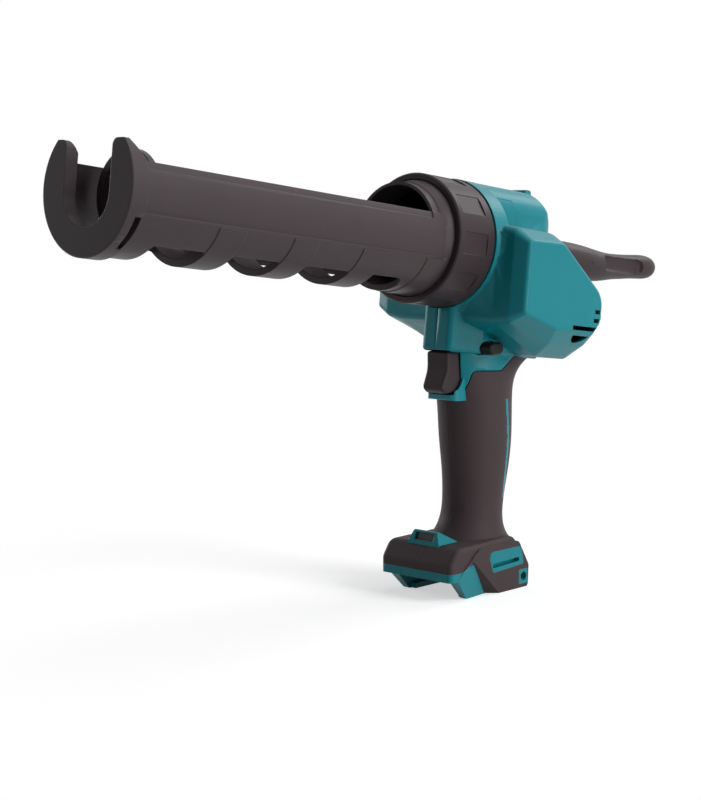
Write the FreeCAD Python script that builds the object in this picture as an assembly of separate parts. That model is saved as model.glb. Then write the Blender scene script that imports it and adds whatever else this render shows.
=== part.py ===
import FreeCAD, Part
import math
import os

os.makedirs("parts", exist_ok=True)
V = FreeCAD.Vector

# Frame: +X to the muzzle, +Y to the tool's left, +Z up, origin on the battery seat under the foot.
# The feed axis rises towards the muzzle. Head pieces are drawn along it, from the lock ring's face.
FEED_TILT = 6.5
FEED_FACE = V(36.4, 0, 179.6)

# Cartridge holder, for a 310 ml cartridge of 50 by 215 mm
HOLDER_R = 28.4
HOLDER_LOW_R = 29.0
HOLDER_BORE = 25.9
CAP_R = 30.6
CAP_FRONT = 211.5
CAP_REAR = 202.5
SLOT_HALF = 15.5
EDGE_W = 12.0
LEDGE_W = -10.0
WINDOW_PITCH = 47.0
WINDOW_LONG = 30.5
WINDOW_HALF = 18.2
HOOP_FRONT = 157.0

# Lock ring and nose
RING_R = 33.9
RING_LONG = 28.6
RING_BORE = 31.6
LIP_R = 30.6
NOSE_R = 31.52

# Feed rod, rack and gears
ROD_HALF_Y = 5.5
ROD_HALF_Z = 6.5
ROD_FRONT = 180.0
ROD_REAR = -158.0
PISTON_FACE = 190.0
PISTON_R = 19.8
RACK_MODULE = 1.5
PINION_TEETH = 14
GEAR_MODULE = 1.2
PINION_GEAR_TEETH = 30
OUTPUT_GEAR_TEETH = 26
PRESSURE = math.radians(20)
PITCH_W = -5.0
PINION_U = -58.0
PINION_W = PITCH_W - RACK_MODULE * PINION_TEETH / 2
GEAR_DROP = 15.0
CENTRES = GEAR_MODULE * (PINION_GEAR_TEETH + OUTPUT_GEAR_TEETH) / 2
MOTOR_U = PINION_U - math.sqrt(CENTRES ** 2 - GEAR_DROP ** 2)
MOTOR_W = PINION_W - GEAR_DROP
MOTOR_R = 17.0
GEARBOX_R = 17.5
SHAFT_R = 4.0

# Housing
WALL = 2.6
SKIN = 1.8
GRIP_GAP = 0.5
SEAM_HALF = 0.3
GRIP_SEAM = 0.12
SEAM_DEEP = 0.7
BULGE_Y = 51.0
BULGE_ROOT_Y = 32.0
SHOULDER_Y = 42.0
PROW_U = -27.0
BUTTON_X, BUTTON_Z = -6.6, 120.9
TRIGGER_HALF = 8.2
TRIGGER_SLOT = 8.9
GUARD_HALF = 10.2

# Foot
FOOT_HALF = 24.6
SKIRT_HALF = 25.5
SKIRT_IN = 18.0
SKIRT_Z = -11.0
LIP_Z = 4.5
HOOK_X, HOOK_Z = -30.0, -5.0
FLOOR = 2.6
CONTACT_Y = 8.5


# Shape helpers
def box(x0, x1, y0, y1, z0, z1):
    return Part.makeBox(x1 - x0, y1 - y0, z1 - z0, V(x0, y0, z0))


def bar_x(x0, x1, r, y=0, z=0):
    return Part.makeCylinder(r, x1 - x0, V(x0, y, z), V(1, 0, 0))


def bar_y(x, z, y0, y1, r):
    return Part.makeCylinder(r, y1 - y0, V(x, y0, z), V(0, 1, 0))


def cone_x(x0, x1, r0, r1):
    return Part.makeCone(r0, r1, x1 - x0, V(x0, 0, 0), V(1, 0, 0))


def fuse(*shapes):
    body = shapes[0]
    for shape in shapes[1:]:
        body = body.fuse(shape)
    return body


def cut(body, *tools):
    for tool in tools:
        body = body.cut(tool)
    return body


def mirror(shape):
    return shape.mirror(V(0, 0, 0), V(0, 1, 0))


def outline(points, radii, at):
    """Closed wire through the points with rounded corners; at() turns a pair into a vector."""
    spots = [at(a, b) for a, b in points]
    count = len(spots)
    arcs = []
    for i, spot in enumerate(spots):
        r = radii[i]
        back = (spots[i - 1] - spot).normalize()
        ahead = (spots[(i + 1) % count] - spot).normalize()
        half = back.getAngle(ahead) / 2
        reach = r / math.tan(half)
        middle = (back + ahead).normalize() * (r / math.sin(half) - r)
        arcs.append((spot + back * reach, spot + middle, spot + ahead * reach))
    edges = []
    for i, (start, middle, end) in enumerate(arcs):
        if radii[i] > 0:
            edges.append(Part.Arc(start, middle, end).toShape())
        following = arcs[(i + 1) % count][0]
        if (following - end).Length > 1e-6:
            edges.append(Part.makeLine(end, following))
    return Part.Wire(Part.__sortEdges__(edges))


def side_prism(points, radii, y0, y1):
    wire = outline(points, radii, lambda a, b: V(a, y0, b))
    return Part.Face(wire).extrude(V(0, y1 - y0, 0))


def plan_prism(points, radii, z0, z1):
    wire = outline(points, radii, lambda a, b: V(a, b, z0))
    return Part.Face(wire).extrude(V(0, 0, z1 - z0))


def ellipse(z, x, a, b):
    edge = Part.Ellipse(V(0, 0, 0), a, b).toShape()
    edge.translate(V(x, 0, z))
    return Part.Wire([edge])


def on_feed(shape):
    """Move a piece drawn along the feed axis into the shared frame."""
    turned = shape.copy()
    turned.Placement = FreeCAD.Placement(FEED_FACE, FreeCAD.Rotation(V(0, 1, 0), -FEED_TILT))
    return turned


def soften(shape, r, keep):
    """Round the sharp edges whose middle point passes keep()."""
    sharp = []
    for edge in shape.Edges:
        faces = shape.ancestorsOfType(edge, Part.Face)
        spot = edge.valueAt((edge.FirstParameter + edge.LastParameter) / 2)
        if len(faces) != 2 or not keep(spot):
            continue
        first, second = [face.normalAt(*face.Surface.parameter(spot)) for face in faces]
        if math.degrees(first.getAngle(second)) > 12:
            sharp.append(edge)
    return shape.makeFillet(r, sharp)


def gear(teeth, module, u, w, y0, y1, bore, turn, backlash=0.12):
    """Spur gear on a lateral axis with involute flanks; turn is the angle of one tooth from +u to +w."""
    pitch_r = module * teeth / 2
    base_r = pitch_r * math.cos(PRESSURE)
    tip_r = pitch_r + module * 0.95
    root_r = pitch_r - module * 1.25
    half = math.pi / (2 * teeth) - backlash / (2 * pitch_r) + math.tan(PRESSURE) - PRESSURE

    def spread(r):
        lean = math.acos(min(1, base_r / r))
        return half - (math.tan(lean) - lean)

    start_r = max(base_r, root_r)
    radii = [start_r + (tip_r - start_r) * k / 3 for k in range(4)]
    flank = [(root_r, spread(start_r))] + [(r, spread(r)) for r in radii]
    ring = []
    for k in range(teeth):
        middle = turn + 2 * math.pi * k / teeth
        rising = [(r, middle - s) for r, s in flank]
        falling = [(r, middle + s) for r, s in reversed(flank)]
        ring += [V(u + r * math.cos(a), y0, w + r * math.sin(a)) for r, a in rising + falling]
    wire = Part.makePolygon(ring + [ring[0]])
    solid = Part.Face(wire).extrude(V(0, y1 - y0, 0))
    return cut(solid, bar_y(u, w, y0 - 1, y1 + 1, bore))


pieces = {}


# Housing outside, drawn with an inset so the same outlines give the cavity
def bulge(inset):
    """Side bulges: three outlines from root to flat face, joined by straight facets."""
    d = inset
    root = [(-33 - d, 11 - d), (-68, 11 - d), (-113 + d, -17 - d / 2), (-113 + d, -41), (-101, -56 + d),
            (-72, -56 + d), (-33 - d, -40 + d / 2)]
    shoulder = [(-33.5 - d, 9.5 - d), (-67, 9.5 - d), (-111 + d, -17.5 - d / 2), (-111 + d, -39),
                (-101, -49 + d), (-70, -49 + d), (-33.5 - d, -39 + d / 2)]
    face = [(-36 - d, 3 - d), (-66, 4 - d), (-104 + d, -21 - d / 2), (-104 + d, -34), (-98, -41 + d),
            (-64, -41 + d), (-36 - d, -34.5 + d / 2)]
    round_low = [4, 14, 14, 9, 9, 8, 4]
    round_face = [3, 10, 12, 3, 3, 5, 3]
    body = side_prism(root, round_low, -BULGE_ROOT_Y, BULGE_ROOT_Y)
    stations = [(root, round_low, BULGE_ROOT_Y), (shoulder, round_low, SHOULDER_Y),
                (face, round_face, BULGE_Y - d)]
    wires = [outline(spots, radii, lambda a, b: V(a, v, b)) for spots, radii, v in stations]
    for low, high in zip(wires, wires[1:]):
        slab = Part.makeLoft([low, high], True, True)
        body = fuse(body, slab, mirror(slab))
    if d > 0:
        return body
    body = soften(body.removeSplitter(), 6, lambda spot: abs(abs(spot.y) - SHOULDER_Y) < 0.01)
    return soften(body, 2.5, lambda spot: abs(abs(spot.y) - BULGE_Y) < 0.01)


def head(inset):
    d = inset
    barrel = bar_x(-64 + d, -RING_LONG - d, 34.4 - d)
    block_side = [(-44, -30), (-44, 33.2 - d), (-86 + d / 2, 33.6 - d), (-103 + d, 9 - d / 2),
                  (-103 + d, -30)]
    block_plan = [(-44, 20.5 - d), (-103 + d, 20.5 - d), (-103 + d, -20.5 + d), (-44, -20.5 + d)]
    block = side_prism(block_side, [0, 0, 12, 10, 0], -30, 30)
    block = block.common(plan_prism(block_plan, [0, 18 - d, 18 - d, 0], -40, 40))
    arch = outline([(20.5 - d, -30), (20.5 - d, 33.6 - d), (-20.5 + d, 33.6 - d), (-20.5 + d, -30)],
                   [0, 15 - d / 2, 15 - d / 2, 0], lambda a, b: V(-120, a, b))
    block = block.common(Part.Face(arch).extrude(V(90, 0, 0)))
    if d == 0:
        block = soften(block, 5, lambda spot: spot.x < -50 and spot.z > -20)
    prow_plan = [(PROW_U - d, 9 - d / 2), (-46, 19 - d), (-92, 19 - d), (-92, -19 + d), (-46, -19 + d),
                 (PROW_U - d, -9 + d / 2)]
    prow = plan_prism(prow_plan, [4, 12, 0, 0, 12, 4], -57 + d / 2, -20)
    if d == 0:
        prow = soften(prow, 2, lambda spot: spot.z < -56.9 and spot.x > -91)
    body = fuse(barrel, block, bulge(d), prow)
    if d > 0:
        return body
    nub = side_prism([(-84, 30), (-85.5, 35.4), (-90, 35.4), (-94, 22)], [0, 1, 1.5, 0], -7, 7)
    return fuse(body, nub)


def handle(inset):
    d = inset
    sections = [(13, -11, 30, 22.5), (17, -13, 24.5, 19.4), (24, -15, 19.4, 16.9), (40, -17.4, 18.4, 16),
                (55, -18.8, 20.6, 16.8), (72, -18.7, 22.4, 18), (92, -17.8, 23.2, 18.6),
                (103, -18, 25.6, 18.8), (111, -22, 31, 18.8), (118, -29, 39.5, 18.6), (126, -30, 40, 18.5)]
    return Part.makeLoft([ellipse(z, x, a - d, b - d) for z, x, a, b in sections], True, False)


def foot_deck(inset):
    d = inset
    side = [(31 - d, 0), (31 - d, 9), (25 - d, 17.4 - d), (-24 + d, 18 - d), (-34.5 + d, 0)]
    deck = side_prism(side, [0, 5, 7, 5, 0], -FOOT_HALF + d, FOOT_HALF - d)
    rims = [edge for edge in deck.Edges if edge.BoundBox.YLength < 1e-4 and edge.BoundBox.ZMax > 0.5]
    return deck.makeFillet(3 - d / 2, rims)


def skirts(inset):
    d = inset
    side = [(25 - d, 0), (15 - d, SKIRT_Z), (-34 + d, SKIRT_Z), (-34.6 + d, 1), (-25.5 + d, 15.5 - d),
            (8 - d, 15.5 - d), (19 - d, 7 - d)]
    block = side_prism(side, [0, 2, 2, 3, 4, 5, 4], SKIRT_IN + d, SKIRT_HALF - d)
    return [block, mirror(block)]


def half_space(spot, normal, inset):
    """Block whose base lies on the plane through the spot, sunk by the inset."""
    block = box(-60, 60, 0, 40, -60, 60)
    turn = FreeCAD.Rotation(V(0, 1, 0), normal)
    block.Placement = FreeCAD.Placement(spot - V(normal).normalize() * inset, turn)
    return block


def skirt_notch(inset):
    """Corner taken off the front of each skirt: a leaning side face and a steep step behind it."""
    side = half_space(V(26, 25.2, 3), V(-0.09, 0.98, -0.165), inset)
    step = half_space(V(14, SKIRT_HALF, 10), V(0.56, 0.55, -0.60), inset)
    notch = side.common(step)
    return [notch, mirror(notch)]


chevron_side = [(27, -1.5), (16, -12), (-3, -12), (11.8, 7.2), (16, 7.2), (22, LIP_Z), (27, LIP_Z)]
chevron = side_prism(chevron_side, [0] * 7, 17, 28)
panel = side_prism([(1, 12.2), (-28, 12.2), (-30, 2), (-3.5, 0.7)], [3, 3, 1, 1], 20, 28)
square = side_prism([(-26, -1), (-33.6, -1), (-33.6, -9), (-26, -9)], [0.6] * 4, 19, 28)
lip_band = box(-60, 60, -40, 40, -20, LIP_Z)
skirt_zone = [box(-60, 19, 17.9, 40, -20, 20), box(-60, 19, -40, -17.9, -20, 20)]
teal_sides = [chevron, panel, square, mirror(chevron), mirror(panel), mirror(square)]

# Soft grip: the outer skin of handle and foot below a stepped line, less the hard pieces that show
grip_line = [(60, 92.6), (8.5, 92.6), (4.2, 96.4), (2.2, 102), (0.4, 109), (-17, 108.4), (-29, 116),
             (-74, 120), (-90, 100), (-90, -40), (60, -40)]
grip_radii = [0, 5, 6, 10, 3, 2, 4, 0, 0, 0, 0]
grip_zone = side_prism(grip_line, grip_radii, -40, 40)
parting = outline(grip_line, grip_radii, lambda a, b: V(a, -40, b)).makeOffset2D(-GRIP_GAP)
parting_zone = Part.Face(parting).extrude(V(0, 80, 0))
lower_outer = cut(fuse(handle(0), foot_deck(0), *skirts(0)), *skirt_notch(0))
lower_core = cut(fuse(handle(SKIN), foot_deck(SKIN), *skirts(SKIN)), *skirt_notch(SKIN))
strip_side = [(-21.8, 92.4), (-24.6, 92.8), (-27.8, 70), (-27.2, 38), (-24.6, 38), (-25, 70)]
strip = side_prism(strip_side, [0] * 6, -40, 40)
skin = cut(lower_outer, lower_core).common(grip_zone)
front_lip = cut(lip_band, *skirt_zone)
skirt_inside = box(-60, 60, -SKIRT_IN - SKIN, SKIRT_IN + SKIN, -20, 0)
guard_side = [(2.2, 113), (4.0, 105.5), (7.4, 99.8), (12.8, 96.9), (11.2, 93.2), (-4, 92.8), (-4, 113)]
guard = side_prism(guard_side, [0, 8, 6, 1.2, 2, 0, 0], -GUARD_HALF, GUARD_HALF)
guard_plan = [(12.9, GUARD_HALF), (-6, GUARD_HALF), (-6, -GUARD_HALF), (12.9, -GUARD_HALF)]
guard = guard.common(plan_prism(guard_plan, [6, 0, 0, 6], 90, 115))
trigger_slot = fuse(box(-10, 40, -TRIGGER_SLOT, TRIGGER_SLOT, 96.4, 116),
                    box(-2.5, 40, -TRIGGER_SLOT, TRIGGER_SLOT, 110, 120.4))
grip = cut(skin, strip, front_lip, skirt_inside, trigger_slot, *teal_sides)
bezel_side = [(25, 13), (24.6, 18.4), (22.4, 24.6), (9, 17.6), (5, 13)]
bezel_front = outline([(11.2, 13), (10.8, 17.6), (7.6, 25), (-7.6, 25), (-10.8, 17.6), (-11.2, 13)],
                      [0, 0, 2, 2, 0, 0], lambda a, b: V(0, a, b))
bezel = side_prism(bezel_side, [0, 0.8, 1.6, 0, 0], -12, 12)
bezel = bezel.common(Part.Face(bezel_front).extrude(V(30, 0, 0)))
grip = cut(grip, bezel)
left_half = box(-400, 400, 0, 200, -100, 400)
head_outer = on_feed(head(0))
grip = cut(grip, head_outer)
grip_half = box(-400, 400, GRIP_SEAM, 200, -100, 400).common(parting_zone)
pieces["grip_left"] = grip.common(grip_half)
pieces["grip_right"] = grip.common(mirror(grip_half))

# Hard housing: head, handle and foot in one, hollow. One half is drawn and mirrored
hollow = SKIN + WALL - 0.2
cavity_low = fuse(handle(hollow), foot_deck(hollow).common(box(-60, 60, -40, 40, FLOOR, 40)))
rail = box(-33, 13, 15, 19, SKIRT_Z, SKIRT_Z + 3)
cavity = fuse(on_feed(head(WALL)), cavity_low)
shell = cut(fuse(head_outer, cut(lower_outer, grip), cut(guard, grip)).common(left_half), cavity)
shell = fuse(shell, rail)

# Screw bosses across the halves, heads sunk in the right half; side, height, depth of the head
body_screws = [(-83, 15.5, 14), (-62, 24, 15), (-74, -50.4, 26)]
low_screws = [(-19.2, 74, 11), (-18.8, 36, 9), (25.4, 8.2, 16)]


def screw_row():
    """Place of each housing screw in the shared frame."""
    spots = []
    for u, w, head_y in body_screws:
        spot = on_feed(Part.Vertex(u, 0, w)).Point
        spots.append((spot.x, spot.z, -head_y))
    return spots + [(x, z, -head_y) for x, z, head_y in low_screws]


screw_spots = screw_row()
inside = cut(cavity, on_feed(box(-40, 0, -60, 60, -60, 60)))
for x, z, head_y in screw_spots:
    shell = fuse(shell, bar_y(x, z, 0, 60, 3.6).common(inside))
seam_zone = on_feed(box(-84, -20, -SEAM_HALF, SEAM_HALF, -56, 33))
seam = cut(head_outer, on_feed(head(SEAM_DEEP))).common(seam_zone)
shell = cut(shell, seam)

# Openings: nose, rod, trigger, lock button, vents, lamp, hook groove, hook hole
nose_hole = on_feed(fuse(bar_x(-40, -20, NOSE_R), bar_x(-35.2, -RING_LONG - WALL, 32.3)))
ring_room = on_feed(bar_x(-RING_LONG - 0.3, 5, RING_R + 0.5))
rear_hole = on_feed(bar_x(-115, -94, 12))


def capsule_y(x, z, half, r, y0, y1):
    middle = box(x - half, x + half, y0, y1, z - r, z + r)
    return fuse(middle, bar_y(x - half, z, y0, y1, r), bar_y(x + half, z, y0, y1, r))


button_hole = capsule_y(BUTTON_X, BUTTON_Z, 2.6, 3.7, -21, 21)


def vents():
    """Slots low at the rear of each bulge over the motor's end, with a half moon below them."""
    slots = [(-112, -98, -30.6), (-112, -97.2, -35.4), (-101.5, -78.6, -40.2)]
    rows = [box(u0, u1, 36, 60, w, w + 2.3) for u0, u1, w in slots]
    moon = bar_y(-89.5, -38.6, 36, 60, 8.4).common(box(-112, -60, 36, 60, -50, -43))
    return rows + [moon]


vent_cuts = [on_feed(vent) for vent in vents()]
groove = side_prism([(-3, 3.2), (-26, 3.9), (-26, 6.3), (-3, 5.6)], [1] * 4, 22, 30)
insert_hole = fuse(bar_y(HOOK_X, HOOK_Z, 19, 23.4, 3.2), bar_y(HOOK_X, HOOK_Z, 23, 30, 2.4))
room_side = [(27, 18.9), (27, 22.9), (21.8, 22.9), (12.5, 18.1), (12.5, 9.5), (20.5, 9.5), (20.5, 18.9)]
lamp_room = side_prism(room_side, [0] * 7, -6.4, 6.4)
contact_hole = box(-26.5, -10, -13, 13, -1, FLOOR)
shell = cut(shell, nose_hole, ring_room, rear_hole, trigger_slot, button_hole, groove, insert_hole,
            lamp_room, contact_hole, bezel, *vent_cuts)
other = mirror(shell)
screws = []
for x, z, head_y in screw_spots:
    shank = bar_y(x, z, head_y, 10, 1.6)
    top = bar_y(x, z, head_y - 2.4, head_y, 2.9)
    cross = [box(x - 2, x + 2, head_y - 2.6, head_y - 1.2, z - 0.5, z + 0.5),
             box(x - 0.5, x + 0.5, head_y - 2.6, head_y - 1.2, z - 2, z + 2)]
    screws.append(cut(fuse(shank, top), *cross))
    sink = bar_y(x, z, -60, head_y, 2.9)
    shell = cut(shell, shank)
    other = cut(other, shank, sink)
    pieces["grip_right"] = cut(pieces["grip_right"], sink)
pieces["housing_screws"] = Part.makeCompound(screws)
pieces["housing_left"] = shell
pieces["housing_right"] = other

# Lamp in the foot: bezel, window, board with the light
lens_zone = side_prism([(23, 18.9), (21.6, 22.9), (20.4, 22.9), (21.8, 18.9)], [0] * 4, -6.4, 6.4)
foot_solid = cut(lower_core, cavity)
bezel = cut(bezel, lamp_room, foot_solid.common(box(0, 40, -20, 20, 0, 22)))
pieces["led_bezel"] = max(bezel.Solids, key=lambda solid: solid.Volume)
pieces["led_lens"] = cut(lens_zone, pieces["led_bezel"])
pieces["led_board"] = fuse(box(17.6, 18.8, -6.4, 6.4, 11, 20.3), bar_x(18.8, 20.4, 1.3, 0, 19))

# Battery seat: control board, terminal block and blades
board = box(-25, 8, -13, 13, 5, 6.6)
pieces["control_board"] = fuse(board, box(-20, -8, -6, 4, 6.6, 9.6), box(-4, 2, -10, -4, 6.6, 10))
block = fuse(box(-26.5, -10, -13, 13, -7.5, FLOOR), box(-26.5, -8.5, -14.5, 14.5, FLOOR, FLOOR + 1.6))
blades = [box(-18, -3, y - 0.5, y + 0.5, -6.2, -2.5) for y in (-CONTACT_Y, 0, CONTACT_Y)]
pieces["terminal_block"] = cut(block, *blades)
pieces["contact_blades"] = Part.makeCompound(blades)
insert = cut(bar_y(HOOK_X, HOOK_Z, 19, 23.4, 3.2), bar_y(HOOK_X, HOOK_Z, 18, 30, 1.65))
pieces["hook_insert_left"] = insert
pieces["hook_insert_right"] = mirror(insert)

# Trigger, switch and lock-off button
trigger_side = [(14.3, 119.3), (5.8, 119.3), (5.8, 114.5), (-2, 114.5), (-2, 97.2), (15.2, 97.2), (18.6, 100),
                (14, 109.8)]
trigger_tip = TRIGGER_HALF - 1.6
trigger_plan = [(20, trigger_tip), (4, TRIGGER_HALF), (-3, TRIGGER_HALF), (-3, -TRIGGER_HALF),
                (4, -TRIGGER_HALF), (20, -trigger_tip)]
trigger_block = side_prism(trigger_side, [1.6, 0, 0, 0, 0, 2.6, 3, 14], -TRIGGER_HALF, TRIGGER_HALF)
trigger_block = trigger_block.common(plan_prism(trigger_plan, [0] * 6, 90, 125)).removeSplitter()
trigger_block = soften(trigger_block, 1.5, lambda spot: spot.x > 13 and abs(spot.y) > 5)
stem = box(-16, -1.5, -2.6, 2.6, 104, 110)
pieces["trigger"] = fuse(trigger_block, stem)
switch = box(-30.5, -10.5, -9, 9, 92, 113)
pieces["switch_body"] = cut(switch, box(-26, 0, -3.1, 3.1, 103.4, 110.6))
button = capsule_y(BUTTON_X, BUTTON_Z, 2.4, 3.35, -18.2, 24.4).removeSplitter()
pieces["lock_button"] = soften(button, 1.2, lambda spot: spot.y > 24.3 or spot.y < -18.1)


# Cartridge holder: trough with hoops, horseshoe cap, rear ring and captive flange
def holder():
    trough = bar_x(0, CAP_REAR, HOLDER_R)
    low = bar_x(12, CAP_REAR, HOLDER_LOW_R).common(box(0, 210, -40, 40, -40, LEDGE_W))
    hoops = [bar_x(HOOP_FRONT - k * WINDOW_PITCH - 16.5, HOOP_FRONT - k * WINDOW_PITCH, HOLDER_LOW_R + 0.4)
             .common(box(0, 210, -40, 40, -40, LEDGE_W - 1.5)) for k in range(4)]
    cap = bar_x(CAP_REAR, CAP_FRONT, CAP_R)
    front = [edge for edge in cap.Edges if edge.BoundBox.XMin > CAP_FRONT - 0.01]
    cap = cap.makeChamfer(0.6, front)
    rear = fuse(bar_x(-2.6, 12.5, 27.6), cone_x(-0.2, 7, 30.2, 27.6), bar_x(-2.6, -0.2, 30.2),
                bar_x(-6.6, -2.6, 31.3))
    body = fuse(trough, low, cap, rear, *hoops)
    bore = bar_x(-10, CAP_FRONT - 6.5, HOLDER_BORE)
    top = fuse(box(12.5, CAP_REAR, -40, 40, EDGE_W, 40), cut(bar_x(-3, 13, 40), bar_x(-4, 14, 30.3)))
    over = cut(bar_x(7, 12.5, 40), bar_x(6, 13, 27.6)).common(box(0, 20, -40, 40, EDGE_W, 40))
    ear_slope = [(CAP_FRONT - 2.6, 21), (CAP_REAR, EDGE_W), (CAP_REAR - 6, EDGE_W), (CAP_REAR - 6, 21)]
    ears = fuse(box(CAP_REAR - 1, CAP_FRONT + 1, -40, 40, 20.6, 40),
                side_prism(ear_slope, [0] * 4, -40, 40))
    slot = fuse(box(CAP_FRONT - 8, CAP_FRONT + 1, -SLOT_HALF, SLOT_HALF, -2, 40),
                bar_x(CAP_FRONT - 8, CAP_FRONT + 1, SLOT_HALF, 0, -2))
    rim = cut(bar_x(13.5, CAP_REAR, 40), bar_x(13, CAP_REAR + 1, HOLDER_R - 0.7)).common(
        box(13.5, CAP_REAR, -40, 40, EDGE_W - 3.2, 40))
    slits = [box(CAP_REAR - 0.6, CAP_REAR + 4.2, s * 21 - 8, s * 21 + 8, -26, LEDGE_W - 2.2) for s in (1, -1)]
    windows = []
    for k in range(4):
        front = HOOP_FRONT + WINDOW_LONG - k * WINDOW_PITCH
        long = 25 if k == 3 else WINDOW_LONG
        round_r = 6 if k == 3 else 2
        plan = [(front, WINDOW_HALF), (front - long, WINDOW_HALF), (front - long, -WINDOW_HALF),
                (front, -WINDOW_HALF)]
        windows.append(plan_prism(plan, [2, round_r, round_r, 2], -40, -6))
    return cut(body, bore, top, over, ears, slot, rim, *slits, *windows)


pieces["cartridge_holder"] = on_feed(holder())


# Lock ring with shallow grip pads
def lock_ring():
    ring = bar_x(-RING_LONG, 0, RING_R)
    ends = [edge for edge in ring.Edges if edge.BoundBox.XLength < 0.01]
    ring = ring.makeChamfer(0.8, ends)
    pads = []
    for k in range(10):
        pad = box(-22.5, -4, -5.6, 5.6, RING_R - 0.7, RING_R + 3)
        pad.rotate(V(0, 0, 0), V(1, 0, 0), 90 - (2.5 + 36 * k))
        pads.append(pad)
    return cut(ring, bar_x(-RING_LONG - 1, -2.4, RING_BORE), bar_x(-3, 1, LIP_R), *pads)


pieces["lock_ring"] = on_feed(lock_ring())

# Nose: threaded neck that the ring turns on, with the front rod bush in its wall
nose = fuse(bar_x(-35.2, -7, NOSE_R), bar_x(-35.2, -RING_LONG - WALL, 32.3))
nose = cut(nose, bar_x(-31.4, 0, 27), bar_x(-40, 0, 12))
pieces["nose"] = on_feed(nose)
rod_gap = box(-200, 200, -ROD_HALF_Y - 0.25, ROD_HALF_Y + 0.25, -ROD_HALF_Z - 0.25, ROD_HALF_Z + 0.25)
pieces["rod_bush_front"] = on_feed(cut(fuse(bar_x(-37.5, -30.4, 12), bar_x(-37.5, -35.2, 14)), rod_gap))
pieces["rod_bush_rear"] = on_feed(cut(fuse(bar_x(-105, -93, 12), bar_x(-95.6, -93, 12.8)), rod_gap))


# Feed rod with its rack on the underside
def rack_rod():
    bar = box(ROD_REAR, ROD_FRONT, -ROD_HALF_Y, ROD_HALF_Y, -ROD_HALF_Z, ROD_HALF_Z)
    long_edges = [edge for edge in bar.Edges if edge.BoundBox.XLength > 100 and edge.BoundBox.ZMin > 0]
    bar = bar.makeChamfer(0.8, long_edges)
    pitch = math.pi * RACK_MODULE
    depth = RACK_MODULE * 1.25
    tip = PITCH_W - RACK_MODULE
    wide = pitch / 4 + 0.06 + RACK_MODULE * math.tan(PRESSURE)
    narrow = pitch / 4 + 0.06 - depth * math.tan(PRESSURE)
    gaps = []
    for k in range(-4, 45):
        u = PINION_U + (k + 0.5) * pitch
        shape = [(u - wide - 0.18, tip - 0.5), (u + wide + 0.18, tip - 0.5), (u + narrow, PITCH_W + depth),
                 (u - narrow, PITCH_W + depth)]
        gaps.append(side_prism(shape, [0] * 4, -20, 20))
    return cut(bar, *gaps)


rod = rack_rod()
hub_bolt = bar_x(ROD_FRONT - 12, ROD_FRONT + 1, 2.5)
pieces["rack_rod"] = on_feed(cut(rod, hub_bolt, bar_y(-150, 0, -20, 20, 2)))
dish = fuse(bar_x(PISTON_FACE - 3.4, PISTON_FACE, PISTON_R),
            cone_x(PISTON_FACE - 10, PISTON_FACE - 3.4, 11, 17))
dish = cut(dish, bar_x(PISTON_FACE - 1.2, PISTON_FACE + 1, PISTON_R - 4),
           bar_x(PISTON_FACE - 20, PISTON_FACE + 1, 2.5))
pieces["piston"] = on_feed(dish)
bolt_head = cut(bar_x(PISTON_FACE - 1.2, PISTON_FACE + 2.6, 5), bar_x(PISTON_FACE, PISTON_FACE + 3, 2.4))
pieces["piston_bolt"] = on_feed(fuse(bolt_head, bar_x(ROD_FRONT - 12, PISTON_FACE - 1.2, 2.5)))


# Pull grip on the rod's rear end
def pull_grip():
    stations = [(-124, 1.9, 10.2, 9.3), (-136, 1.6, 10.15, 9.25), (-150, 1.2, 10.0, 9.2),
                (-166, 0.7, 9.1, 8.4), (-184, 1.8, 7.6, 7.2), (-204, 3.6, 7.2, 6.8), (-216, 4.4, 7.1, 6.6),
                (-223, 4.6, 5.6, 5.2), (-226, 4.7, 2.6, 2.4)]
    wires = []
    for u, w, tall, wide in stations:
        edge = Part.Ellipse(V(0, 0, 0), tall, wide).toShape()
        edge.rotate(V(0, 0, 0), V(0, 1, 0), 90)
        edge.translate(V(u, 0, w))
        wires.append(Part.Wire([edge]))
    grip_body = Part.makeLoft(wires, True, False)
    socket = box(ROD_REAR, -110, -ROD_HALF_Y, ROD_HALF_Y, -ROD_HALF_Z, ROD_HALF_Z)
    flats = [box(-206, -176, 5.4, 12, -1.5, 6.5), box(-206, -176, -12, -5.4, -1.5, 6.5)]
    return cut(grip_body, socket, bar_y(-150, 0, -20, 20, 2), *flats)


pieces["pull_grip"] = on_feed(pull_grip())
pieces["grip_pin"] = on_feed(bar_y(-150, 0, -8.4, 8.4, 2))

# Drive: pinion under the rack, final gear pair on the right, sealed gearbox and motor to the left
line = math.atan2(MOTOR_W - PINION_W, MOTOR_U - PINION_U)
pieces["rack_pinion"] = on_feed(gear(PINION_TEETH, RACK_MODULE, PINION_U, PINION_W, -6.5, 6.5, SHAFT_R,
                                     math.pi / 2 + math.pi / PINION_TEETH))
pieces["pinion_gear"] = on_feed(gear(PINION_GEAR_TEETH, GEAR_MODULE, PINION_U, PINION_W, -34.5, -29, SHAFT_R,
                                     line))
pieces["pinion_shaft"] = on_feed(bar_y(PINION_U, PINION_W, -36, 15, SHAFT_R))
pieces["output_gear"] = on_feed(gear(OUTPUT_GEAR_TEETH, GEAR_MODULE, MOTOR_U, MOTOR_W, -34.5, -29, SHAFT_R,
                                     line + math.pi + math.pi / OUTPUT_GEAR_TEETH))
pieces["output_shaft"] = on_feed(bar_y(MOTOR_U, MOTOR_W, -36, -24, SHAFT_R))
gearbox = fuse(bar_y(MOTOR_U, MOTOR_W, -25, -2, GEARBOX_R), bar_y(MOTOR_U, MOTOR_W, -28, -25, 9))
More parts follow.
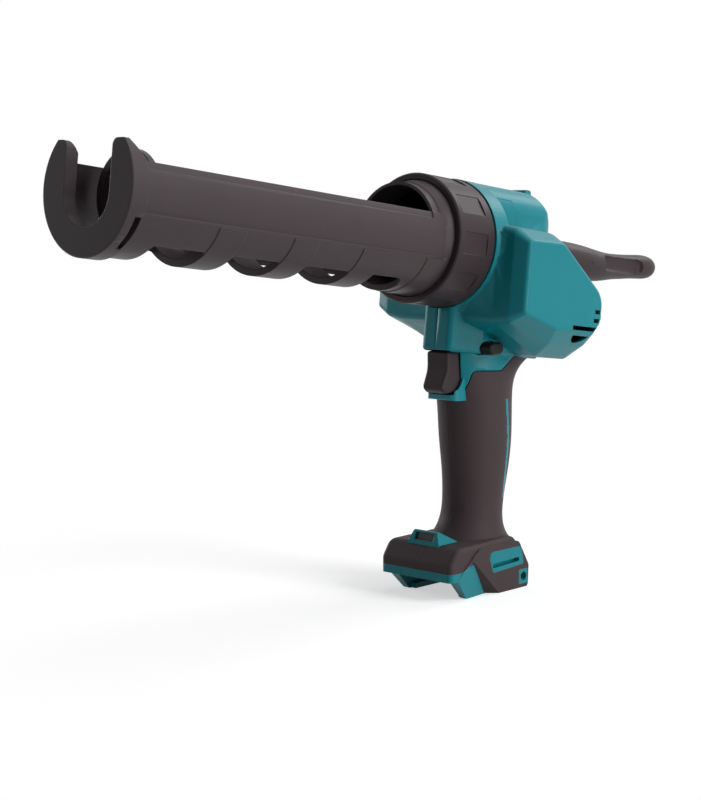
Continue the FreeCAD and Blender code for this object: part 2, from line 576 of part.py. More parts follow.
pieces["gearbox_case"] = on_feed(cut(gearbox, bar_y(MOTOR_U, MOTOR_W, -30, -22, SHAFT_R + 0.06)))
for name, low, high in (("shaft_bush_left", 8.5, 13.5), ("shaft_bush_right", -13.5, -8.5)):
    bore = bar_y(PINION_U, PINION_W, low - 1, high + 1, SHAFT_R + 0.06)
    pieces[name] = on_feed(cut(bar_y(PINION_U, PINION_W, low, high, 8), bore))


def frame_plate(low, high, hole):
    """Bearing plate that joins the shaft bush to the seat of the motor or gearbox."""
    front = bar_y(PINION_U, PINION_W, low, high, 12)
    rear = bar_y(MOTOR_U, MOTOR_W, low, high, 19.2)
    across = line + math.pi / 2
    ends = [(PINION_U, PINION_W, 11.6), (MOTOR_U, MOTOR_W, 18), (MOTOR_U, MOTOR_W, -18),
            (PINION_U, PINION_W, -11.6)]
    corners = [(u + r * math.cos(across), w + r * math.sin(across)) for u, w, r in ends]
    web = side_prism(corners, [0] * 4, low, high)
    return cut(fuse(front, rear, web), bar_y(PINION_U, PINION_W, low - 1, high + 1, 8),
               bar_y(MOTOR_U, MOTOR_W, low - 1, high + 1, hole))


bridge = bar_y(-66, -38, -13.5, 13.5, 3)
plates = [frame_plate(8.5, 13.5, MOTOR_R), frame_plate(-13.5, -8.5, GEARBOX_R)]
pieces["gear_frame"] = on_feed(fuse(bridge, *plates))
pieces["motor_can"] = on_feed(bar_y(MOTOR_U, MOTOR_W, -2, 33, MOTOR_R))
cap_holes = [bar_y(MOTOR_U + 12 * math.cos(a), MOTOR_W + 12 * math.sin(a), 30, 40, 2.2)
             for a in [math.radians(30 + 60 * k) for k in range(6)]]
motor_end = fuse(bar_y(MOTOR_U, MOTOR_W, 33, 36, 16.4), bar_y(MOTOR_U, MOTOR_W, 36, 40, 6))
pieces["motor_cap"] = on_feed(cut(motor_end, *cap_holes))

# Write one file per piece and print its volume
for name, shape in pieces.items():
    grouped = name in ("housing_screws", "contact_blades")
    if not grouped:
        shape = max(shape.Solids, key=lambda solid: solid.Volume)
    shape.exportStep(f"parts/{name}.step")
    print(f"{name:18s} solids {len(shape.Solids)} valid {shape.isValid()} {shape.Volume / 1000:8.2f} cm3")
print(len(pieces), "pieces")
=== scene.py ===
import math

import bmesh
import bpy
from mathutils import Matrix, Vector


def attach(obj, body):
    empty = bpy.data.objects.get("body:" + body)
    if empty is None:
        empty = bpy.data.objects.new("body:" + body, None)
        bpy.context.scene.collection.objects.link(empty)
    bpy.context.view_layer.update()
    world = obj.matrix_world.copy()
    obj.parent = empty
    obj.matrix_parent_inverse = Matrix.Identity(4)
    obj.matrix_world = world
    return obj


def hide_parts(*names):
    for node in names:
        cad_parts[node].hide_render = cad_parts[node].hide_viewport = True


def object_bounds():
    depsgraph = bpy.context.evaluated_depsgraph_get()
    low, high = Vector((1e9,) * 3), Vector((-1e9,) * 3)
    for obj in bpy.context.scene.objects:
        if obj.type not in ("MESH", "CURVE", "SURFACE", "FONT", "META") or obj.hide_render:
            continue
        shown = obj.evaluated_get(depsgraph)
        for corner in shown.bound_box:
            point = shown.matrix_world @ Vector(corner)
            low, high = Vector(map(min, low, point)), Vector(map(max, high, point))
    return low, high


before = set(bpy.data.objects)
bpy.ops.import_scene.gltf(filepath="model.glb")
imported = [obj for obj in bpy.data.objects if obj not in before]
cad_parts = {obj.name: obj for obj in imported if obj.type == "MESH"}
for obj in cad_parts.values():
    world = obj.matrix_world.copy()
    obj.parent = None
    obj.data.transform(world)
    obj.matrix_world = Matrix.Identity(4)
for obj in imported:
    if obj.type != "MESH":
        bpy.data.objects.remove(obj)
cad_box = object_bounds()
scene = bpy.context.scene
scene.view_settings.view_transform = "Standard"

# Drive: gears and shafts of hardened steel on a rod of cold-drawn bar, with teeth
# milled along its underside. They are assembled between two bearing plates and
# slid into the body as one unit; drawing and grinding leave fine lines on them.
MM = 0.001
LINE_DEPTH = 0.04
LINE_STRENGTH = 0.25
GLOSS_SPREAD = 0.09


def colour(code):
    """sRGB hex to a linear colour with full alpha."""
    parts = [int(code[i:i + 2], 16) / 255 for i in (1, 3, 5)]
    return [p / 12.92 if p <= 0.04045 else ((p + 0.055) / 1.055) ** 2.4 for p in parts] + [1.0]


def add(tree, kind, links=None, **settings):
    """Add a node, set its properties or sockets, and link its inputs from other sockets."""
    node = tree.nodes.new(kind)
    for key, value in settings.items():
        if hasattr(node, key):
            setattr(node, key, value)
        else:
            node.inputs[key.replace("_", " ")].default_value = value
    for name, socket in (links or {}).items():
        tree.links.new(socket, node.inputs[name])
    return node


def start(name):
    """A new material with its shader, tree and the object's own coordinates."""
    material = bpy.data.materials.new(name)
    material.use_nodes = True
    tree = material.node_tree
    tree.nodes.clear()
    shader = add(tree, "ShaderNodeBsdfPrincipled")
    add(tree, "ShaderNodeOutputMaterial", {"Surface": shader.outputs["BSDF"]})
    place = add(tree, "ShaderNodeTexCoord").outputs["Object"]
    return material, tree, shader, place


def paint(material, *nodes):
    """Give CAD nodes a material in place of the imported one."""
    for node in nodes:
        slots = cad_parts[node].data.materials
        slots.clear()
        slots.append(material)


def metal(name, dark, light, rough, line_mm, along=(0.05, 1.0, 1.0), pits=0.0):
    """Worked metal: two close tones and a gloss that follow fine tool lines, with shallow pits if cast.

    The lines run the way in which along is small, and have no direction where it is even.
    """
    material, tree, shader, place = start(name)
    stretch = add(tree, "ShaderNodeMapping", {"Vector": place})
    stretch.inputs["Scale"].default_value = along
    lines = add(tree, "ShaderNodeTexNoise", {"Vector": stretch.outputs["Vector"]},
                Scale=1 / (line_mm * MM), Detail=3.0)
    tone = add(tree, "ShaderNodeMix", {"Factor": lines.outputs["Fac"]}, data_type="RGBA")
    tone.inputs["A"].default_value = colour(dark)
    tone.inputs["B"].default_value = colour(light)
    gloss = add(tree, "ShaderNodeMapRange", {"Value": lines.outputs["Fac"]},
                To_Min=rough - GLOSS_SPREAD, To_Max=rough + GLOSS_SPREAD)
    relief = add(tree, "ShaderNodeBump", {"Height": lines.outputs["Fac"]},
                 Strength=LINE_STRENGTH + pits, Distance=LINE_DEPTH * MM)
    tree.links.new(tone.outputs["Result"], shader.inputs["Base Color"])
    tree.links.new(gloss.outputs["Result"], shader.inputs["Roughness"])
    tree.links.new(relief.outputs["Normal"], shader.inputs["Normal"])
    shader.inputs["Metallic"].default_value = 1.0
    return material


# Steel: the lines run along the rod, 0.6 mm apart so that they show at arm's length.
drawn_steel = metal("drawn_steel", "#7F8184", "#A4A6A9", rough=0.34, line_mm=0.6)
paint(drawn_steel, "rack_rod", "rack_pinion", "pinion_gear", "pinion_shaft", "output_gear",
      "output_shaft")
# Zinc-plated can of the motor, a little duller and bluer than the bare steel.
plated_steel = metal("zinc_plated_steel", "#8A8D92", "#A6A9AD", rough=0.38, line_mm=1.2,
                     along=(1.0, 0.05, 1.0))
paint(plated_steel, "motor_can")

# Gear frame and gearbox case: die-cast aluminium alloy, bolted round the gears. The
# die leaves a grey, slightly pitted skin with no direction in it.
cast_alloy = metal("die_cast_alloy", "#85878A", "#A0A2A4", rough=0.52, line_mm=1.6,
                   along=(1.0, 1.0, 1.0), pits=0.4)
paint(cast_alloy, "gear_frame", "gearbox_case")

# Thread inserts: brass, turned from drawn bar and pressed hot into the plastic. The
# bar's lines run along the Y axis, and the tone stays warm and bright.
turned_brass = metal("turned_brass", "#A9853F", "#C6A35C", rough=0.28, line_mm=0.5,
                     along=(1.0, 0.1, 1.0))
paint(turned_brass, "hook_insert_left", "hook_insert_right")

# Bushes of the rod and shaft: sintered bronze, pressed to size and soaked in oil. The
# pores hold the oil, so the metal looks brown and dull beside the turned brass.
sintered_bronze = metal("sintered_bronze", "#5E4A2C", "#7A6239", rough=0.50, line_mm=0.8,
                        along=(1.0, 1.0, 1.0), pits=0.5)
paint(sintered_bronze, "rod_bush_front", "rod_bush_rear", "shaft_bush_left", "shaft_bush_right")

# Body: two halves of glass-filled nylon, injection moulded in a teal colour and
# screwed together. The mould is spark eroded, which leaves a satin surface with a
# fine even grain, and the edges are a little smoother from handling, with a painted
# highlight that makes them lighter.
BLOTCH = 30
GRAIN_SPREAD, GRAIN_STRENGTH = 0.07, 0.35
EDGE_START, EDGE_FULL = 0.99, 0.75
# Strength of the edge mask, which lightens the colour as a painted highlight, and the drop in roughness that
# it brings.
EDGE_HIGHLIGHT_AND_POLISH, EDGE_POLISH = 0.6, 0.12
PLASTIC_IOR = 1.5


def moulded(name, dark, light, edge, rough, grain_mm, depth_mm, shine, radius_mm=0.5):
    """Moulded plastic: soft blotches of two tones, an eroded grain, and rounded, polished edges with a
    painted highlight.
    """
    material, tree, shader, place = start(name)
    blotch = add(tree, "ShaderNodeTexNoise", {"Vector": place}, Scale=1 / (BLOTCH * MM), Detail=3.0)
    tone = add(tree, "ShaderNodeMix", {"Factor": blotch.outputs["Fac"]}, data_type="RGBA")
    tone.inputs["A"].default_value = colour(dark)
    tone.inputs["B"].default_value = colour(light)
    # The mould's corners have a small radius, and the turn of the surface there is the edge mask, which
    # paints a highlight and lowers the roughness.
    corner = add(tree, "ShaderNodeBevel", samples=4, Radius=radius_mm * MM)
    flat = add(tree, "ShaderNodeNewGeometry").outputs["Normal"]
    turn = add(tree, "ShaderNodeVectorMath", {0: corner.outputs["Normal"], 1: flat},
               operation="DOT_PRODUCT")
    rim = add(tree, "ShaderNodeMapRange", {"Value": turn.outputs["Value"]},
              From_Min=EDGE_START, From_Max=EDGE_FULL, To_Min=0.0, To_Max=EDGE_HIGHLIGHT_AND_POLISH)
    # Painted highlight: the edge colour is mixed into the tone along the corners.
    edge_highlighted = add(tree, "ShaderNodeMix", {"Factor": rim.outputs["Result"], "A": tone.outputs["Result"]},
               data_type="RGBA")
    edge_highlighted.inputs["B"].default_value = colour(edge)
    # The real grain is about a tenth of a millimetre, and is drawn coarser so that it shows.
    grain = add(tree, "ShaderNodeTexNoise", {"Vector": place}, Scale=1 / (grain_mm * MM), Detail=2.0)
    matt = add(tree, "ShaderNodeMapRange", {"Value": grain.outputs["Fac"]},
               To_Min=rough - GRAIN_SPREAD, To_Max=rough + GRAIN_SPREAD)
    gloss = add(tree, "ShaderNodeMath", {0: rim.outputs["Result"], 2: matt.outputs["Result"]},
                operation="MULTIPLY_ADD")
    gloss.inputs[1].default_value = -EDGE_POLISH
    relief = add(tree, "ShaderNodeBump",
                 {"Height": grain.outputs["Fac"], "Normal": corner.outputs["Normal"]},
                 Strength=GRAIN_STRENGTH, Distance=depth_mm * MM)
    tree.links.new(edge_highlighted.outputs["Result"], shader.inputs["Base Color"])
    tree.links.new(gloss.outputs["Value"], shader.inputs["Roughness"])
    tree.links.new(relief.outputs["Normal"], shader.inputs["Normal"])
    shader.inputs["IOR"].default_value = PLASTIC_IOR
    shader.inputs["Specular IOR Level"].default_value = shine
    return material


# The third colour is a painted highlight along the edges.
teal_nylon = moulded("teal_moulded_nylon", "#0A7680", "#0E7D87", "#2A939D",
                     rough=0.38, grain_mm=0.5, depth_mm=0.06, shine=0.19)
paint(teal_nylon, "housing_left", "housing_right")

# Shoulder behind the collar: the round barrel ends in a short flange there, and the rear
# block stands behind it with a flat side and a rounded top, on a ledge of the bulge. Here
# the halves' barrel is cut away behind the flange, and the same moulding closes the gap.
# Places are millimetres in the feed frame: u along the rod, v to the left and w upwards.
FEED_X, FEED_Z, FEED_TILT = 36.4, 179.6, 6.5
FEED = (Matrix.Translation((FEED_X * MM, 0, FEED_Z * MM))
        @ Matrix.Rotation(math.radians(-FEED_TILT), 4, "Y"))
FLANGE_REAR, FLANGE_EDGE, FLANGE_SIDES = -40.0, 0.9, 128
BARREL_REAR, BARREL_R = -64.0, 34.4
BLOCK_HALF, BLOCK_TOP, BLOCK_ROUND = 20.5, 33.6, 15.0
LEDGE, LEDGE_EDGE, ARCH_START = 11.0, 32.4, 9.0
SHOULDER_THICK, SEAT = 2.0, 0.03
CUT_ROOM, CUT_PAST = 40.0, 1.5
ROUND_STEPS = 10
MERGE_WITHIN = 0.001
PIECE_CREASE, RECUT_CREASE = math.radians(30), math.radians(18)
FLATTEST = 100


def whole(work):
    """All the points, edges and faces of a shape."""
    return work.verts[:] + work.edges[:] + work.faces[:]


def move(work, raised, way_mm):
    """Move the points that an extrusion has raised."""
    bmesh.ops.translate(work, verts=[g for g in raised["geom"] if isinstance(g, bmesh.types.BMVert)],
                        vec=[step * MM for step in way_mm])


def across(work, u, spots):
    """Corner points in a plane across the feed axis."""
    return [work.verts.new((u * MM, v * MM, w * MM)) for v, w in spots]


def round_off(work, points, radius):
    """Round an outline at some of its corners."""
    bmesh.ops.bevel(work, geom=points, offset=radius * MM, offset_type="OFFSET", segments=ROUND_STEPS,
                    profile=0.5, affect="VERTICES", material=-1)


def linked(work, name):
    """Turn a shape into an object of the scene."""
    mesh = bpy.data.meshes.new(name)
    work.to_mesh(mesh)
    work.free()
    piece = bpy.data.objects.new(name, mesh)
    scene.collection.objects.link(piece)
    return piece


def placed(work, name):
    """Turn a shape drawn along the feed axis into an object in the tool's place."""
    bmesh.ops.recalc_face_normals(work, faces=work.faces)
    bmesh.ops.transform(work, matrix=FEED, verts=work.verts)
    return linked(work, name)


def fixed(work, name, body, material):
    """Mirror a piece drawn along the feed axis, place it and fix it to a body."""
    bmesh.ops.mirror(work, geom=whole(work), axis="Y", merge_dist=0.0)
    piece = placed(work, name)
    piece.data.materials.append(material)
    piece.data.shade_smooth()
    piece.data.set_sharp_from_angle(angle=PIECE_CREASE)
    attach(piece, body)


def finished(piece):
    """Make the piece's modifiers part of its mesh."""
    mesh = bpy.data.meshes.new_from_object(piece.evaluated_get(bpy.context.evaluated_depsgraph_get()))
    piece.modifiers.clear()
    piece.data = mesh
    return mesh


def recut(node, name, cutter, body):
    """Stand a copy of a painted node in its place, with the cutter's shape taken off."""
    work = bmesh.new()
    work.from_mesh(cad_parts[node].data)
    bmesh.ops.remove_doubles(work, verts=work.verts, dist=MERGE_WITHIN * MM)
    piece = linked(work, name)
    cut = piece.modifiers.new("cut", "BOOLEAN")
    cut.operation = "DIFFERENCE"
    cut.solver = "EXACT"
    cut.object = cutter
    mesh = finished(piece)
    mesh.shade_smooth()
    mesh.set_sharp_from_angle(angle=RECUT_CREASE)
    # Large faces set the shading, so the flat ones stay flat up to their rounded edges.
    even = piece.modifiers.new("even", "WEIGHTED_NORMAL")
    even.keep_sharp = True
    even.weight = FLATTEST
    mesh = finished(piece)
    mesh.materials.clear()
    mesh.materials.append(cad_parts[node].data.materials[0])
    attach(piece, body)
    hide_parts(node)


work = bmesh.new()
side, low = BLOCK_HALF + SEAT, LEDGE + SEAT
points = across(work, BARREL_REAR - CUT_PAST,
                [(-CUT_ROOM, low), (-side, low), (-side, BLOCK_TOP), (side, BLOCK_TOP), (side, low),
                 (CUT_ROOM, low), (CUT_ROOM, CUT_ROOM), (-CUT_ROOM, CUT_ROOM)])
work.faces.new(points)
round_off(work, points[2:4], BLOCK_ROUND)
move(work, bmesh.ops.extrude_face_region(work, geom=work.faces[:]),
     (FLANGE_REAR - BARREL_REAR + CUT_PAST, 0, 0))
cutter = placed(work, "barrel_cutter")
recut("housing_left", "body_half_left", cutter, "body")
recut("housing_right", "body_half_right", cutter, "body")
bpy.data.objects.remove(cutter)

work = bmesh.new()
top = BLOCK_TOP - SEAT
points = across(work, BARREL_REAR,
                [(LEDGE_EDGE, LEDGE), (BLOCK_HALF, LEDGE), (BLOCK_HALF, top), (0, top)])
for pair in zip(points, points[1:]):
    work.edges.new(pair)
round_off(work, points[2:3], BLOCK_ROUND)
move(work, bmesh.ops.extrude_edge_only(work, edges=work.edges[:]), (FLANGE_REAR - BARREL_REAR, 0, 0))
bmesh.ops.bisect_plane(work, geom=whole(work), plane_co=(0, ARCH_START * MM, 0), plane_no=(0, 1, 0),
                       clear_inner=True)
bmesh.ops.recalc_face_normals(work, faces=work.faces)
# The sheet faces out and up, so that its thickness goes inwards.
if max(work.faces, key=lambda face: face.calc_area()).normal.dot(Vector((0, 1, 1))) < 0:
    bmesh.ops.reverse_faces(work, faces=work.faces)
bmesh.ops.solidify(work, geom=work.faces[:], thickness=SHOULDER_THICK * MM)
fixed(work, "shoulder", "body", teal_nylon)

work = bmesh.new()
stand = Matrix.Translation(((FLANGE_REAR + SEAT) * MM, 0, 0)) @ Matrix.Rotation(math.radians(90), 4, "Y")
bmesh.ops.create_circle(work, cap_ends=True, segments=FLANGE_SIDES, radius=(BARREL_R - FLANGE_EDGE) * MM,
                        matrix=stand)
for spot, way in (((0, ARCH_START * MM, 0), (0, 1, 0)), ((0, 0, LEDGE * MM), (0, 0, 1))):
    bmesh.ops.bisect_plane(work, geom=whole(work), plane_co=spot, plane_no=way, clear_inner=True)
move(work, bmesh.ops.extrude_face_region(work, geom=work.faces[:]), (SHOULDER_THICK, 0, 0))
fixed(work, "flange_back", "body", teal_nylon)

# Screws of the body, bolt of the piston and pin of the pull grip: black-oxided steel. The
# screws are driven from the right into bosses of the left half. The oxide is thin, so the
# steel shows through.
black_oxide = metal("black_oxide_steel", "#2B2C2E", "#4A4B4D", rough=0.42, line_mm=0.7,
                    along=(1.0, 0.3, 1.0))
paint(black_oxide, "housing_screws", "piston_bolt", "grip_pin")

# Soft skin of the handle and foot: a charcoal elastomer moulded over the body halves.
# It is matt, a little warmer than the hard plastic, and finely grained for hold.
# The third colour is a painted highlight along the edges.
soft_elastomer = moulded("charcoal_elastomer", "#3F3537", "#443A3C", "#584E50",
                         rough=0.56, grain_mm=0.7, depth_mm=0.10, shine=0.11)
paint(soft_elastomer, "grip_left", "grip_right")

# Holder and piston: hard charcoal nylon, moulded with a fine satin grain. The holder is
# one long moulding and snaps into the collar; the piston is bolted to the rod's end.
# The third colour is a painted highlight along the edges.
charcoal_nylon = moulded("charcoal_moulded_nylon", "#423A3C", "#473F41", "#62585A",
                         rough=0.42, grain_mm=0.5, depth_mm=0.06, shine=0.12)
paint(charcoal_nylon, "cartridge_holder", "piston")

# Horns of the holder's cap: the two tips beside the nozzle slot are rounded on the slot's
# side, so that a nozzle slides in past them. The tips are moulded in one with the holder.
CAP_REAR, CAP_FRONT = 202.5, 211.5
SLOT_HALF, HORN_TOP, HORN_ROUND = 15.5, 20.6, 3.4
CUT_BEHIND, CUT_AHEAD, CUT_SIDE, CUT_ABOVE, CUT_MARGIN = 8.0, 2.0, 1.0, 2.0, 0.4
work = bmesh.new()
inner, outer = SLOT_HALF - SEAT, SLOT_HALF + HORN_ROUND + CUT_MARGIN
top, low = HORN_TOP + SEAT, HORN_TOP - HORN_ROUND - CUT_MARGIN
points = across(work, CAP_REAR - CUT_BEHIND,
                [(inner - CUT_SIDE, top + CUT_ABOVE), (outer, top + CUT_ABOVE), (outer, top), (inner, top),
                 (inner, low), (inner - CUT_SIDE, low)])
work.faces.new(points)
round_off(work, points[3:4], HORN_ROUND)
move(work, bmesh.ops.extrude_face_region(work, geom=work.faces[:]),
     (CAP_FRONT - CAP_REAR + CUT_BEHIND + CUT_AHEAD, 0, 0))
bmesh.ops.mirror(work, geom=whole(work), axis="Y", merge_dist=0.0)
cutter = placed(work, "horn_cutter")
recut("cartridge_holder", "holder_with_horns", cutter, "holder")
bpy.data.objects.remove(cutter)

# Collar, trigger and pull grip: the same nylon in a darker batch, with a closer gloss
# where hands keep it polished.
# The third colour is a painted highlight along the edges.
dark_nylon = moulded("dark_moulded_nylon", "#362D2F", "#3B3234", "#574D4F",
                     rough=0.40, grain_mm=0.5, depth_mm=0.06, shine=0.12)
paint(dark_nylon, "lock_ring", "pull_grip", "trigger")

# Hollows of the pull grip: one in each side for a finger and thumb, moulded with round
# edges. Plugs of the same nylon are pressed in over the ends of the grip's pin.
HOLLOW_MIDDLE, HOLLOW_SIZE = (-187.0, 12.0, 3.0), (42.0, 16.0, 11.0)
HOLLOW_ROUND, HOLLOW_STEPS = 4.0, 6
PLUG_SPOT, PLUG_R, PLUG_LONG, PLUG_SIDES = (-150.0, 8.7, 0.0), 1.97, 0.7, 40
work = bmesh.new()
bmesh.ops.create_cube(work, size=MM, matrix=Matrix.Translation(Vector(HOLLOW_MIDDLE) * MM)
                      @ Matrix.Diagonal(HOLLOW_SIZE + (1,)))
bmesh.ops.bevel(work, geom=work.edges[:], offset=HOLLOW_ROUND * MM, segments=HOLLOW_STEPS, profile=0.5,
                affect="EDGES", material=-1)
bmesh.ops.mirror(work, geom=whole(work), axis="Y", merge_dist=0.0)
cutter = placed(work, "hollow_cutter")
recut("pull_grip", "hollowed_grip", cutter, "rod")
bpy.data.objects.remove(cutter)

work = bmesh.new()
bmesh.ops.create_cone(work, cap_ends=True, segments=PLUG_SIDES, radius1=PLUG_R * MM, radius2=PLUG_R * MM,
                      depth=PLUG_LONG * MM, matrix=Matrix.Translation(Vector(PLUG_SPOT) * MM)
                      @ Matrix.Rotation(math.radians(90), 4, "X"))
fixed(work, "pin_plugs", "rod", dark_nylon)

# Black pieces: the lock button, the nose under the collar, the switch, the motor's end cap
# and the terminal block, all plain black nylon with the mould's grain left as it is.
# The third colour is a painted highlight along the edges.
black_nylon = moulded("black_moulded_nylon", "#1A191B", "#212022", "#333235",
                      rough=0.42, grain_mm=0.6, depth_mm=0.05, shine=0.15)
paint(black_nylon, "lock_button", "switch_body", "motor_cap", "nose", "terminal_block")

# Vent ends: the two upper slots of each bulge stop at the rear corner, where a web of the
# same teal nylon closes them flush with the wall. Behind the open part of each slot sits a
# strip of black nylon as painted shade, standing in for the dark inside of the slot.
SHADE_STRIP_PLAN = [(-98.3, 48.8), (-102.5, 48.8), (-102.5, 46.4), (-98.3, 46.4)]
WEB_PLAN = [(-102.4, 50.96), (-103.7, 50.76), (-104.9, 49.76), (-107.85, 45.97), (-110.5, 42.45),
            (-111.15, 41.0), (-112.1, 36.2), (-109.6, 36.2), (-108.2, 41.8), (-102.4, 47.0)]
SLOT_LOW_AND_LEAN = [(-30.55, 0.0), (-35.35, 0.9)]
SLOT_TALL = 2.2


def slot_fillings(name, plan, material):
    """A plan raised to the slots' height in each slot; the lower one leans with its wall."""
    work = bmesh.new()
    for low, lean in SLOT_LOW_AND_LEAN:
        base = work.faces.new([work.verts.new(((u + lean) * MM, v * MM, low * MM)) for u, v in plan])
        move(work, bmesh.ops.extrude_face_region(work, geom=[base]), (-lean, 0, SLOT_TALL))
    fixed(work, name, "body", material)


slot_fillings("vent_webs", WEB_PLAN, teal_nylon)
# Strips of black nylon as painted shade in the open slots.
slot_fillings("painted_shade_strips", SHADE_STRIP_PLAN, black_nylon)

# Battery contacts: blades of nickel-plated copper, stamped, and pressed into their block.
# The plating is bright, with the faint lines of the rolled strip along each blade.
plated_copper = metal("nickel_plated_copper", "#B3ADA0", "#CBC6BA", rough=0.25, line_mm=0.5)
paint(plated_copper, "contact_blades")

# Control board: glass epoxy with a green solder mask, cut from a panel and screwed in.
# The weave shows faintly through the mask.
# The third colour is a painted highlight along the board's edges.
green_board = moulded("green_solder_mask", "#1C4630", "#245639", "#6E7B52",
                      rough=0.35, grain_mm=0.8, depth_mm=0.03, shine=0.4, radius_mm=0.2)
paint(green_board, "control_board")

# Lamp in the foot: a moulded bezel with a polycarbonate window, and behind it a small
# board in black solder mask with one lamp chip. The window is drawn dark as painted shade
# of the recess behind it. The chip's dome is silicone, pale from its phosphor, with a faint
# painted glow.
BOARD_WEAVE, WINDOW_CLOUD, DOME_HAZE = 0.8, 6.0, 0.5
CHIP_FRONT = 18.9
DOME_X, DOME_Z, DOME_R = 20.3, 19.3, 1.0
paint(teal_nylon, "led_bezel")
lamp_board, tree, shader, place = start("black_solder_mask")
weave = add(tree, "ShaderNodeTexNoise", {"Vector": place}, Scale=1 / (BOARD_WEAVE * MM), Detail=2.0)
mask = add(tree, "ShaderNodeMix", {"Factor": weave.outputs["Fac"]}, data_type="RGBA")
mask.inputs["A"].default_value = colour("#141617")
mask.inputs["B"].default_value = colour("#1E2122")
front = add(tree, "ShaderNodeSeparateXYZ", {"Vector": place})
chip = add(tree, "ShaderNodeMath", {0: front.outputs["X"]}, operation="GREATER_THAN")
chip.inputs[1].default_value = CHIP_FRONT * MM
board_and_chip = add(tree, "ShaderNodeMix",
                     {"Factor": chip.outputs["Value"], "A": mask.outputs["Result"]}, data_type="RGBA")
board_and_chip.inputs["B"].default_value = colour("#E3D6CF")
tree.links.new(board_and_chip.outputs["Result"], shader.inputs["Base Color"])
shader.inputs["Roughness"].default_value = 0.4
paint(lamp_board, "led_board")

# Painted shade: half of the window is opaque grey-brown, and the see-through half is tinted grey.
window_with_painted_shade, tree, shader, place = start("polycarbonate_with_painted_shade")
tint = add(tree, "ShaderNodeTexNoise", {"Vector": place}, Scale=1 / (WINDOW_CLOUD * MM), Detail=1.0)
shade_tint = add(tree, "ShaderNodeMix", {"Factor": tint.outputs["Fac"]}, data_type="RGBA")
shade_tint.inputs["A"].default_value = colour("#8E8487")
shade_tint.inputs["B"].default_value = colour("#A0969A")
clear = add(tree, "ShaderNodeBsdfTransparent", {"Color": shade_tint.outputs["Result"]})
shader.inputs["Base Color"].default_value = colour("#5A4F53")
shader.inputs["Roughness"].default_value = 0.12
window = add(tree, "ShaderNodeMixShader", {1: clear.outputs["BSDF"], 2: shader.outputs["BSDF"]}, Fac=0.5)
tree.links.new(window.outputs["Shader"], tree.nodes["Material Output"].inputs["Surface"])
paint(window_with_painted_shade, "led_lens")

work = bmesh.new()
bmesh.ops.create_uvsphere(work, u_segments=24, v_segments=12, radius=DOME_R * MM,
                          matrix=Matrix.Translation((DOME_X * MM, 0, DOME_Z * MM)))
half = bmesh.ops.bisect_plane(work, geom=whole(work), plane_co=(DOME_X * MM, 0, 0), plane_no=(1, 0, 0),
                              clear_inner=True)
bmesh.ops.contextual_create(work, geom=[e for e in half["geom_cut"] if isinstance(e, bmesh.types.BMEdge)])
bmesh.ops.recalc_face_normals(work, faces=work.faces)
# Only the flat back has more than four corners, and it isn't smoothed.
for face in work.faces:
    face.smooth = len(face.verts) <= 4
dome = linked(work, "lamp_dome")
silicone, tree, shader, place = start("lamp_silicone")
haze = add(tree, "ShaderNodeTexNoise", {"Vector": place}, Scale=1 / (DOME_HAZE * MM), Detail=1.0)
phosphor = add(tree, "ShaderNodeMix", {"Factor": haze.outputs["Fac"]}, data_type="RGBA")
phosphor.inputs["A"].default_value = colour("#E8CFC6")
phosphor.inputs["B"].default_value = colour("#F2E2DC")
tree.links.new(phosphor.outputs["Result"], shader.inputs["Base Color"])
shader.inputs["Roughness"].default_value = 0.15
# Painted glow: the lamp is off, and a faint emission stands in for a highlight on the dome.
shader.inputs["Emission Color"].default_value = colour("#F2DCD6")
shader.inputs["Emission Strength"].default_value = 0.25
dome.data.materials.append(silicone)
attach(dome, "body")

# Floor: a pale sheet under the foot. It fades to white away from the object, and keeps
# the object's shadow near it. Sizes from here on are in metres.
FLOOR_HALF = 6.0
FADE_START, FADE_END = 0.10, 0.34
FLOOR_GLOW = 0.55
WHITE = colour("#FFFFFF")
work = bmesh.new()
bmesh.ops.create_grid(work, x_segments=1, y_segments=1, size=FLOOR_HALF)
bmesh.ops.translate(work, verts=work.verts, vec=(0, 0, cad_box[0][2]))
floor = linked(work, "floor")


def shown(tree):
    """1 for a ray that shows the background: from the camera, a reflection or through glass."""
    rays = add(tree, "ShaderNodeLightPath")
    either = add(tree, "ShaderNodeMath", {0: rays.outputs["Is Camera Ray"], 1: rays.outputs["Is Glossy Ray"]},
                 operation="MAXIMUM")
    return add(tree, "ShaderNodeMath", {0: either.outputs["Value"], 1: rays.outputs["Is Transmission Ray"]},
               operation="MAXIMUM").outputs["Value"]


floor_paint, tree, shader, place = start("pale_floor")
shader.inputs["Base Color"].default_value = colour("#DCDCDC")
shader.inputs["Roughness"].default_value = 0.9
shader.inputs["Specular IOR Level"].default_value = 0.0
middle = add(tree, "ShaderNodeMapping", {"Vector": place})
middle.inputs["Location"].default_value = (0.0, 0.0, -cad_box[0][2])
away = add(tree, "ShaderNodeVectorMath", {0: middle.outputs["Vector"]}, operation="LENGTH")
fade = add(tree, "ShaderNodeMapRange", {"Value": away.outputs["Value"]}, interpolation_type="SMOOTHSTEP",
           From_Min=FADE_START, From_Max=FADE_END)
seen = shown(tree)
far = add(tree, "ShaderNodeMath", {0: fade.outputs["Result"], 1: seen}, operation="MULTIPLY")
glow = add(tree, "ShaderNodeMath", {0: seen}, operation="MULTIPLY")
glow.inputs[1].default_value = FLOOR_GLOW
lift = add(tree, "ShaderNodeEmission", {"Strength": glow.outputs["Value"]}, Color=WHITE)
near = add(tree, "ShaderNodeAddShader", {0: shader.outputs["BSDF"], 1: lift.outputs["Emission"]})
sweep = add(tree, "ShaderNodeEmission", Strength=1.0, Color=WHITE)
both = add(tree, "ShaderNodeMixShader",
           {0: far.outputs["Value"], 1: near.outputs["Shader"], 2: sweep.outputs["Emission"]})
tree.links.new(both.outputs["Shader"], tree.nodes["Material Output"].inputs["Surface"])
floor.data.materials.append(floor_paint)

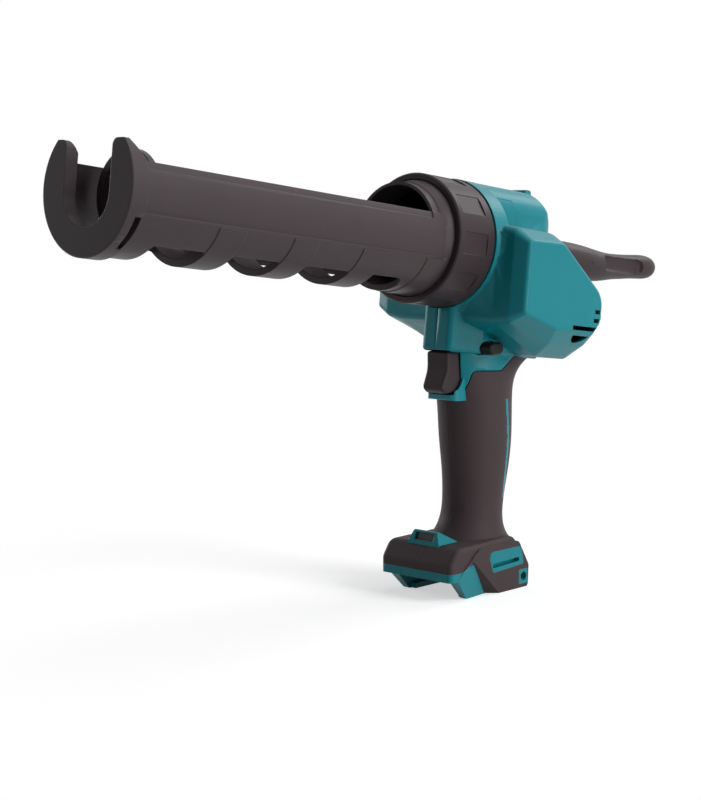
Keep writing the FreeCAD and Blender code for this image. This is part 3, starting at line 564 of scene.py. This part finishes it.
# Studio light: broad round lamps on a dim world. The camera, reflections and glass see
# that world as plain white.
DIM = 0.06
world = bpy.data.worlds.new("studio")
scene.world = world
world.use_nodes = True
tree = world.node_tree
tree.nodes.clear()
lit = add(tree, "ShaderNodeBackground", Strength=DIM, Color=WHITE)
white = add(tree, "ShaderNodeBackground", Strength=1.0, Color=WHITE)
both = add(tree, "ShaderNodeMixShader",
           {0: shown(tree), 1: lit.outputs["Background"], 2: white.outputs["Background"]})
add(tree, "ShaderNodeOutputWorld", {"Surface": both.outputs["Shader"]})


def aimed(name, data, spot, aim):
    """A lamp or camera at a spot, turned to what it is aimed at."""
    obj = bpy.data.objects.new(name, data)
    obj.location = spot
    obj.rotation_euler = (Vector(aim) - Vector(spot)).to_track_quat("-Z", "Y").to_euler()
    scene.collection.objects.link(obj)
    return obj


def lamp(name, spot, aim, size, watts):
    """A round soft lamp."""
    data = bpy.data.lights.new(name, "AREA")
    data.shape = "DISK"
    data.size = size
    data.energy = watts
    aimed(name, data, spot, aim)


lamp("key", (-0.5, 1.5, 1.0), (0.02, 0, 0.14), size=1.0, watts=20)
lamp("low_fill", (-0.2, 1.3, 0.04), (0.02, 0, 0.14), size=0.4, watts=7)
lamp("top", (-0.3, 0.1, 1.7), (0.02, 0, 0.10), size=1.2, watts=8)
lamp("rear", (-1.3, 0.15, 1.1), (0.02, 0, 0.16), size=0.6, watts=4.5)
lamp("rim", (0.2, -1.5, 0.4), (0.02, 0, 0.10), size=0.5, watts=7)

# Camera: a long lens at the photograph's viewing angle, ahead of the muzzle on the tool's
# left and about level with the body.
CAMERA_SPOT, CAMERA_AIM = (0.7072, 0.5839, 0.1924), (0.08135, 0, 0.09882)
SENSOR_TALL, LENS = 36.0, 76.99
camera_data = bpy.data.cameras.new("photo_camera")
camera_data.sensor_fit = "VERTICAL"
camera_data.sensor_height = SENSOR_TALL
camera_data.lens = LENS
scene.camera = aimed("photo_camera", camera_data, CAMERA_SPOT, CAMERA_AIM)
